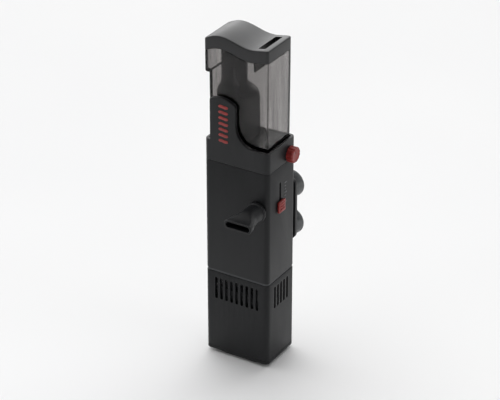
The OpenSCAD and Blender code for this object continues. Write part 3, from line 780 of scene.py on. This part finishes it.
def make_housing():
    low, rim = housing_low.z, CUP_Z + RIM_H
    lap, lap_h = 1.1 * MM, 3 * MM             # step that goes over the column's top
    ceiling = CUP_Z - 3 * MM
    soft, seam, lead_in = 0.5 * MM, 0.35 * MM, 0.25 * MM
    seat = (lid_high.x + 0.3 * MM, -BODY_Y + TONGUE_T, lid_high.y + 0.4 * MM)
    seat_r = 1.6 * MM

    def seat_plan(grow, z):
        outline = plan(-seat[0] - grow, seat[0] + grow, seat[1] - grow, seat[2] + grow, seat_r)
        return [(x, y, z) for x, y in outline]

    shell = Shell()
    shell.strip(shell.ring(column_plan(WALL, ceiling)))
    shell.ring(column_plan(WALL, low + lap_h))
    shell.ring(column_plan(lap, low + lap_h))
    shell.ring(column_plan(lap, low))
    shell.ring(column_plan(seam, low))
    shell.ring(column_plan(0, low + seam))
    for i in range(5):
        a = math.pi / 2 * i / 4
        shell.ring(column_plan(soft * (1 - math.cos(a)), rim - soft * (1 - math.sin(a))))
    shell.ring(seat_plan(lead_in, rim))
    shell.ring(seat_plan(0, rim - lead_in))
    shell.ring(seat_plan(0, CUP_Z))
    shell.strip(shell.last)
    housing = loose(shell.mesh("housing"))

    front = -BODY_Y
    root = CUP_Z - TONGUE_ROOT

    def shown(e):
        """Front edges of the tongue, apart from those that end inside the collar."""
        on_front = all(abs(v.co.y - front) < 1e-6 for v in e.verts)
        on_left = all(v.co.x < TONGUE_LEFT + 1e-6 for v in e.verts)
        return on_front and (on_left or min(v.co.z for v in e.verts) > root + 0.1 * MM)

    tongue = bevel_edges(prism(tongue_outline(), "y", front, front + TONGUE_T), 0.8 * MM, shown, 4)
    play = 0.8 * MM
    opening_w, opening_d = (2 * half + play for half in RISER_HALF)
    opening = round_plan(RISER_X, 0, opening_w, opening_d, RISER_R + play / 2, 8)
    socket = prism(opening, "z", ceiling - MM, CUP_Z + MM)
    knob, spout = box_middle("air_valve_knob"), box_middle("outlet_spout")
    stem_r, barb_r = 3.05 * MM, 2.6 * MM
    stem_hole = prism(circle_plan(knob.y, knob.z, stem_r), "x", 20 * MM, BODY_X + MM)
    barb_hole = prism(circle_plan(spout.x, knob.z, barb_r), "y", 10 * MM, BODY_Y + MM)
    carve(housing, ("UNION", tongue), ("DIFFERENCE", socket), ("DIFFERENCE", stem_hole),
          ("DIFFERENCE", barb_hole))
    piece("collar_moulding", housing, "upper_housing", SATIN)


def make_badge():
    """Generic mark: a stack of slightly wavy red bars, like rising bubbles' ripples."""
    low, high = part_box("badge")
    bars, share = 7, 3.1 / 5.15               # number, and the part of the pitch that each fills
    pitch = (high.z - low.z) / (bars - 1 + share)
    bar_h = pitch * share

    def ripple(middle, steps=14):
        """Outline of one bar: round ends, and a slight wave along it."""
        top, bottom = [], []
        for k in range(steps + 1):
            t = k / steps
            x = low.x + (high.x - low.x) * t
            z = middle + 0.09 * bar_h * math.sin(2 * math.pi * t)
            half = max(0.41 * bar_h * math.sqrt(max(0.0, 1 - (2 * t - 1) ** 6)), 0.02 * MM)
            top.append((x, z + half))
            bottom.append((x, z - half))
        return bottom + top[::-1]

    def shown(e):
        return all(abs(v.co.y - low.y) < 1e-7 for v in e.verts)

    stack = []
    for i in range(bars):
        bar = prism(ripple(low.z + i * pitch + bar_h / 2), "y", low.y, high.y)
        stack.append(bevel_edges(bar, 0.12 * MM, shown, 2))
    piece("ripple_mark", to_mesh(joined(stack), "ripple_mark"), "badge", RED)


# ---------------------------------------------------------------- column and pump casing

def casing_shell(low, high, lap=False):
    """Rounded rectangular tube, its outer edges eased. A lap stands up inside the next part."""
    ease, lap_in, lap_h = 0.45 * MM, 1.2 * MM, 2.8 * MM
    shell = Shell()
    first = shell.ring(column_plan(WALL, low))
    shell.ring(column_plan(ease, low))
    shell.ring(column_plan(ease * 0.3, low + ease * 0.3))
    shell.ring(column_plan(0, low + ease))
    shell.ring(column_plan(0, high - ease))
    shell.ring(column_plan(ease * 0.3, high - ease * 0.3))
    shell.ring(column_plan(ease, high))
    top = high
    if lap:
        top = high + lap_h
        shell.ring(column_plan(lap_in, high))
        shell.ring(column_plan(lap_in, top))
    shell.ring(column_plan(WALL, top))
    shell.bridge(shell.last, first)
    return shell


def box_bm(x0, x1, y0, y1, z0, z1):
    return prism([(x0, y0), (x1, y0), (x1, y1), (x0, y1)], "z", z0, z1)


def make_column():
    column = loose(casing_shell(casing_low.z, housing_low.z, lap=True).mesh("column"))
    back = BODY_Y
    rail = (92 * MM, 180 * MM)                # foot and top of the holder's rail
    web_w, head_w, web_d = 6 * MM, 14 * MM, 2.3 * MM
    web = box_bm(-web_w / 2, web_w / 2, back - MM, back + web_d, *rail)
    head = box_bm(-head_w / 2, head_w / 2, back + web_d - 0.1 * MM, casing_high.y, *rail)
    bevel_edges(head, 0.4 * MM, lambda e: True, 2)
    spout, spout_r = box_middle("outlet_spout"), 6.05 * MM
    hole = prism(circle_plan(spout.x, spout.z, spout_r, 48), "y", -BODY_Y - MM, -BODY_Y + WALL + MM)
    slot_y, slot_z, slot_w, slot_h = -2.5 * MM, 158 * MM, 2.6 * MM, 25.2 * MM
    slot = prism(round_plan(slot_y, slot_z, slot_w, slot_h, 1.25 * MM), "x", BODY_X - WALL - MM, BODY_X + MM)
    carve(column, ("UNION", web), ("UNION", head), ("DIFFERENCE", hole), ("DIFFERENCE", slot))
    piece("column_moulding", column, "column_casing", COLUMN)


def make_pump_casing():
    casing = loose(casing_shell(pump_low.z, pump_high.z).mesh("pump_casing_moulding"))
    slot_w, slot_r, pitch = 2.8 * MM, 1.35 * MM, 5 * MM
    z0, z1 = 54 * MM, 75 * MM                 # foot and top of the intake slots
    screw_x, screw_y = 24.6 * MM, 15.8 * MM
    boss_r, boss_top = 4.2 * MM, 22 * MM
    pilot_r, pilot_top = 1.25 * MM, 18.5 * MM
    gland, gland_r = box_middle("cable_gland"), 4.6 * MM

    def slot(place, axis, low, high):
        return prism(round_plan(place, (z0 + z1) / 2, slot_w, z1 - z0, slot_r), axis, low, high)

    def uprights(r, low, high, segments):
        """Solid cylinders at the four screws."""
        return joined(prism(circle_plan(sx * screw_x, sy * screw_y, r, segments), "z", low, high)
                      for sx in (-1, 1) for sy in (-1, 1))

    cuts = [slot(i * pitch, "y", -BODY_Y - MM, -BODY_Y + WALL + MM) for i in range(-4, 5)]
    for i in range(-2, 3):
        cuts += [slot(i * pitch, "x", -BODY_X - MM, -BODY_X + WALL + MM),
                 slot(i * pitch, "x", BODY_X - WALL - MM, BODY_X + MM)]
    cuts.append(prism(circle_plan(gland.x, gland.z, gland_r, 48), "y", BODY_Y - WALL - MM, BODY_Y + MM))
    carve(casing, ("UNION", uprights(boss_r, pump_low.z, boss_top, 32)), ("DIFFERENCE", joined(cuts)),
          ("DIFFERENCE", uprights(pilot_r, pump_low.z - MM, pilot_top, 20)))
    piece("pump_casing_moulding", casing, "pump_casing", COLUMN)


# ---------------------------------------------------------------- nozzle, valve knob, gate, holder

def make_nozzle():
    """Duckbill nozzle: a round socket with a grip collar that flattens into a wide mouth."""
    low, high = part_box("flow_nozzle")
    front = -BODY_Y
    cx, cz = (low.x + high.x) / 2, (low.z + high.z) / 2
    socket, collar = 16 * MM, 17.6 * MM       # outer widths
    mouth_w, mouth_h = high.x - low.x, 8 * MM
    inner_w, inner_h, inner_r = 22 * MM, 4.8 * MM, 2.2 * MM
    throat, bore = 9.2 * MM, 12.1 * MM        # waterway, and the seat on the spout
    bill_start, end = -13.5 * MM, low.y - front
    lip = 0.8 * MM                            # how far the lip stands out, both sides together
    shell = Shell()

    def ring(y, w, h, r):
        return shell.ring([(x, front + y, z) for x, z in round_plan(cx, cz, w, h, min(r, h / 2, w / 2), 9)])

    def tube(y, w):
        return ring(y, w, w, w / 2)

    def bill(t, w0, w1, h1, r1):
        """Width, height and corner radius on the way from a round socket (0) to the mouth (1)."""
        k = t * t * (3 - 2 * t)
        return w0 + (w1 - w0) * k, w0 + (h1 - w0) * k, w0 / 2 + (r1 - w0 / 2) * k

    first = tube(-1 * MM, collar - 1.0 * MM)
    for y, less in ((-1.25, 0.2), (-1.6, 0), (-3.7, 0), (-4.1, 0.3)):
        tube(y * MM, collar - less * MM)
    tube(-4.5 * MM, socket)
    steps = 14
    for i in range(steps + 1):
        t = i / steps
        ring(bill_start + (end + 1.6 * MM - bill_start) * t,
             *bill(t, socket, mouth_w - lip, mouth_h - lip, 3.2 * MM))
    # thickened lip round the mouth
    for y, less, r in ((1.3, 0, 3.6), (0.4, 0, 3.6), (0.1, 0.3, 3.5), (0, 0.8, 3.3)):
        ring(end + y * MM, mouth_w - less * MM, mouth_h - less * MM, r * MM)
    ring(end, inner_w + 0.5 * MM, inner_h + 0.5 * MM, inner_r + 0.2 * MM)
    ring(end + 0.4 * MM, inner_w, inner_h, inner_r)
    throat_y, steps = -14.8 * MM, 12
    for i in range(steps, -1, -1):
        t = i / steps
        ring(throat_y + (end + 0.8 * MM - throat_y) * t, *bill(t, throat, inner_w, inner_h, inner_r))
    for y, w in ((-10.5, throat), (-10.5, bore), (-1, bore)):
        tube(y * MM, w)
    shell.bridge(shell.last, first)
    nozzle = loose(shell.mesh("nozzle"))

    grips, reach, flute_r = 16, collar / 2 + 0.35 * MM, 0.75 * MM
    flutes = []
    for i in range(grips):
        a = 2 * math.pi * i / grips
        flute = circle_plan(cx + reach * math.cos(a), cz + reach * math.sin(a), flute_r, 12)
        flutes.append(prism(flute, "y", front - 3.9 * MM, front - 0.9 * MM))
    carve(nozzle, ("DIFFERENCE", joined(flutes)))
    piece("duckbill_nozzle", nozzle, "flow_nozzle", COLUMN, sharp=40)


def make_knob():
    """Fluted knob with its stem, seal groove and needle in one."""
    low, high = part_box("air_valve_knob")
    y, z = (low.y + high.y) / 2, (low.z + high.z) / 2
    tip, stem, groove_r = 0.02 * MM, 2.45 * MM, 1.5 * MM
    disc = (high.z - low.z) / 2
    top = high.x - low.x
    under = BODY_X + 0.5 * MM - low.x         # underside of the disc
    groove = (24 * MM - low.x, 25.4 * MM - low.x)
    ease, crown, dish = 0.6 * MM, 1.3 * MM, 0.45 * MM
    rows, turns, grips = 7, 5, 12

    profile = [(tip, 0), (0.4 * MM, 0.05 * MM), (1.4 * MM, 3.45 * MM), (stem - 0.2 * MM, 3.5 * MM),
               (stem, 3.8 * MM), (stem, groove[0]), (groove_r, groove[0]), (groove_r, groove[1]),
               (stem, groove[1]), (stem, under), (disc - ease, under),
               (disc - 0.15 * MM, under + 0.15 * MM), (disc, under + ease)]
    for i in range(1, rows + 1):
        profile.append((disc, under + ease + (top - crown - under - ease) * i / rows))
    for i in range(1, turns + 1):
        a = math.pi / 2 * i / turns
        profile.append((disc - crown * (1 - math.cos(a)), top - crown * (1 - math.sin(a))))
    profile += [(disc - 1.9 * MM, top - 0.35 * MM), (disc - 2.3 * MM, top - dish), (tip, top - dish)]

    def flute(a, r, h):
        if r < disc - crown - 0.01 * MM or h < under + 0.5 * MM:
            return r
        return r - 0.62 * MM * (0.5 + 0.5 * math.cos(grips * a)) ** 4

    knob = loose(lathe(profile, (low.x, y, z), (1, 0, 0), 144, flute).mesh("knob"))
    pointer = box_bm(high.x - 1.1 * MM, high.x + MM, y - 0.55 * MM, y + 0.55 * MM, z + 0.9 * MM, z + 4.4 * MM)
    carve(knob, ("DIFFERENCE", pointer))
    piece("air_knob", knob, "air_valve_knob", KNOB_RED, sharp=35)


def make_gate():
    """Sliding gate with three grip ribs on its outside pad."""
    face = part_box("level_gate")[1].x
    middle, pitch, rib_h = 149 * MM, 2.6 * MM, 1 * MM
    rib_y = (-6.3 * MM, 1.3 * MM)
    ribs = []
    for i in (-1, 0, 1):
        z = middle + pitch * i
        rib = box_bm(face - 0.3 * MM, face + 0.55 * MM, *rib_y, z - rib_h / 2, z + rib_h / 2)
        ribs.append(bevel_edges(rib, 0.25 * MM, lambda e: min(v.co.x for v in e.verts) > face, 2))
    gate = loose(softened("level_gate", 0.35 * MM))
    carve(gate, ("UNION", joined(ribs)))
    piece("gate_slider", gate, "level_gate", KNOB_RED)


def make_suction_cups():
    low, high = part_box("suction_cups")
    middle, half = (low.z + high.z) / 2, (high.z - low.z) / 2
    r_lip, depth = 12.5, 9.0                  # millimetres, as in the section below
    # radius and height over the bracket: button, neck, outside of the bell, lip, inside of the bell
    profile = [(0.02, -6.0), (1.6, -6.0), (2.4, -5.85), (3.2, -5.6), (4.1, -5.25), (4.4, -4.8), (4.4, -3.5),
               (4.2, -3.22), (3.15, -3.2), (3.15, 0.0), (4.7, 0.0), (5.0, 0.25), (5.5, 0.9), (6.5, 2.2),
               (8.2, 3.7), (10.0, 5.0), (11.6, 6.9), (12.35, 8.3), (r_lip, 8.8), (12.45, depth),
               (11.9, depth), (11.5, 8.6), (10.4, 7.4), (9.0, 6.4), (7.0, 5.2), (5.0, 4.4),
               (2.5, 3.8), (0.02, 3.65)]
    section = [(r * MM, h * MM) for r, h in profile]
    cups = bmesh.new()
    for sx in (-1, 1):
        for sz in (-1, 1):
            centre = (sx * (high.x - r_lip * MM), high.y - depth * MM, middle + sz * (half - r_lip * MM))
            cup = lathe(section, centre, (0, 1, 0), 48).mesh("sucker")
            cups.from_mesh(cup)
            bpy.data.meshes.remove(cup)
    piece("suckers", to_mesh(cups, "suckers"), "suction_cups", VINYL, sharp=50)


def make_ticks():
    """Plain raised scale beside the gate's slot, without figures."""
    first, pitch, half = 149 * MM, 3 * MM, 0.22 * MM
    left, short_right, long_right = 4.2 * MM, 6.6 * MM, 8.2 * MM
    ticks = []
    for i in range(7):
        right = long_right if i % 3 == 0 else short_right
        z = first + pitch * i
        ticks.append(box_bm(BODY_X - 0.05 * MM, BODY_X + 0.18 * MM, left, right, z - half, z + half))
    trim("gate_scale", to_mesh(joined(ticks), "gate_scale"), "column", TICK_GREY)


make_lid()
make_cup()
make_riser()
make_housing()
make_badge()
make_column()
make_pump_casing()
make_nozzle()
make_knob()
make_gate()
make_suction_cups()
make_ticks()

# ---------------------------------------------------------------- pieces with eased edges

EASED = {
    "holder_bracket": (SATIN, "black_satin", 0.6), "base_plate": (COLUMN, "black_satin", 0.35),
    "base_pad": (BLACK_RUBBER, "black_rubber", 0.5), "outlet_spout": (COLUMN, "black_satin", 0.25),
    "plenum_tray": (INNER, "grey_inner", 0.25), "chamber_body": (INNER, "grey_inner", 0.4),
    "air_valve_body": (INNER, "grey_inner", 0.3), "motor_can": (GLOSS, "black_gloss", 0.3),
    "volute_cover": (INNER, "grey_inner", 0.2), "volute_housing": (INNER, "grey_inner", 0.2),
    "cable_gland": (BLACK_RUBBER, "black_rubber", 0.3),
    "cup_seal": (SILICONE, "silicone", 0.2), "lid_seal": (SILICONE, "silicone", 0.2),
}
for node, (material, slot, width) in EASED.items():
    piece(node + "_eased", softened(node, width * MM), node, material)

# ---------------------------------------------------------------- other CAD nodes keep their shape

KEPT = {
    "bubble_plate": WHITE, "casing_screws": STEEL, "motor_end_plate": GLOSS, "stator_core": LAMINATIONS,
    "coil_bobbin": WHITE, "coil_winding": COPPER, "rotor_magnet": FERRITE, "rotor_shaft": CERAMIC,
    "impeller": NEEDLE, "front_bush": BLACK_RUBBER, "rear_bush": BLACK_RUBBER,
    "volute_o_ring": BLACK_RUBBER, "volute_screws": STEEL, "delivery_elbow": INNER,
    "damper_pads": BLACK_RUBBER, "valve_o_ring": BLACK_RUBBER, "air_hose": SILICONE,
}
for node, material in KEPT.items():
    finish_cad(node, material)

# ---------------------------------------------------------------- stage, light and camera

AZIMUTH, ELEVATION = 31.3, 28.6        # of the camera, in degrees
CAMERA_DISTANCE, LENS = 1.85, 160
CAMERA_DROP = 4 * MM                   # how far under the object's middle it looks
LAMP_DISTANCE = 1.9
LAMP_TARGET = Vector((0, 0, 0.17))     # a little over the object's middle
BRIGHTEST = (-0.54, 0.65, 0.53)        # direction of the brightest part of the dome


def make_stage():
    s = Surface("pale_floor")
    cloud = s.noise(2.2, 2.0, 0.5)
    s.set(Base_Color=s.blend(s.ramp(cloud, 0.3, 0.7), (0.86, 0.86, 0.86), (0.83, 0.83, 0.835)),
          Roughness=0.75, Specular_IOR_Level=0.2)
    half, ground = 6.0, cad_bounds[0][2]
    bm = bmesh.new()
    corners = ((-half, -half), (half, -half), (half, half), (-half, half))
    bm.faces.new([bm.verts.new((x, y, ground)) for x, y in corners])
    floor = loose(to_mesh(bm, "floor"))
    floor.data.materials.append(s.mat)


def direction(azimuth, elevation):
    """Unit vector from the object to a place round it."""
    a, e = math.radians(azimuth), math.radians(elevation)
    return Vector((math.sin(a) * math.cos(e), -math.cos(a) * math.cos(e), math.sin(e)))


def aimed(name, data, target, away, distance):
    """Lamp or camera that looks at the target."""
    obj = bpy.data.objects.new(name, data)
    obj.location = target + away * distance
    obj.rotation_euler = away.to_track_quat("Z", "Y").to_euler()
    bpy.context.scene.collection.objects.link(obj)
    return obj


def softbox(name, azimuth, elevation, width, height, power):
    """Area light aimed at the object."""
    data = bpy.data.lights.new(name, "AREA")
    data.shape = "RECTANGLE"
    data.size, data.size_y = width, height
    data.energy = power
    aimed(name, data, LAMP_TARGET, direction(azimuth, elevation), LAMP_DISTANCE)


def make_light():
    """Pale dome that is brightest behind and to the left, with two soft boxes in front."""
    world = bpy.data.worlds.new("studio")
    world.use_nodes = True
    tree = world.node_tree
    background = tree.nodes["Background"]
    background.inputs["Color"].default_value = (1.0, 1.0, 1.0, 1)
    aim = tree.nodes.new("ShaderNodeVectorMath")
    aim.operation = "DOT_PRODUCT"
    tree.links.new(tree.nodes.new("ShaderNodeTexCoord").outputs["Generated"], aim.inputs[0])
    aim.inputs[1].default_value = BRIGHTEST
    glow = tree.nodes.new("ShaderNodeMapRange")
    glow.interpolation_type = "SMOOTHSTEP"
    tree.links.new(aim.outputs["Value"], glow.inputs["Value"])
    for socket, value in (("From Min", 0.3), ("From Max", 0.97), ("To Min", 0.26), ("To Max", 2.5)):
        glow.inputs[socket].default_value = value
    tree.links.new(glow.outputs[0], background.inputs["Strength"])
    bpy.context.scene.world = world
    softbox("key", -48, 46, 1.5, 1.5, 4.6)
    softbox("fill", 100, 35, 0.9, 1.6, 3.5)


def make_camera():
    data = bpy.data.cameras.new("camera")
    data.lens, data.sensor_width = LENS, 36
    middle = (cad_bounds[0][2] + cad_bounds[1][2]) / 2
    target = Vector((0.0, 0.0, middle - CAMERA_DROP))
    camera = aimed("camera", data, target, direction(AZIMUTH, ELEVATION), CAMERA_DISTANCE)
    bpy.context.scene.camera = camera


make_stage()
make_light()
make_camera()
bpy.context.scene.view_settings.view_transform = "Standard"
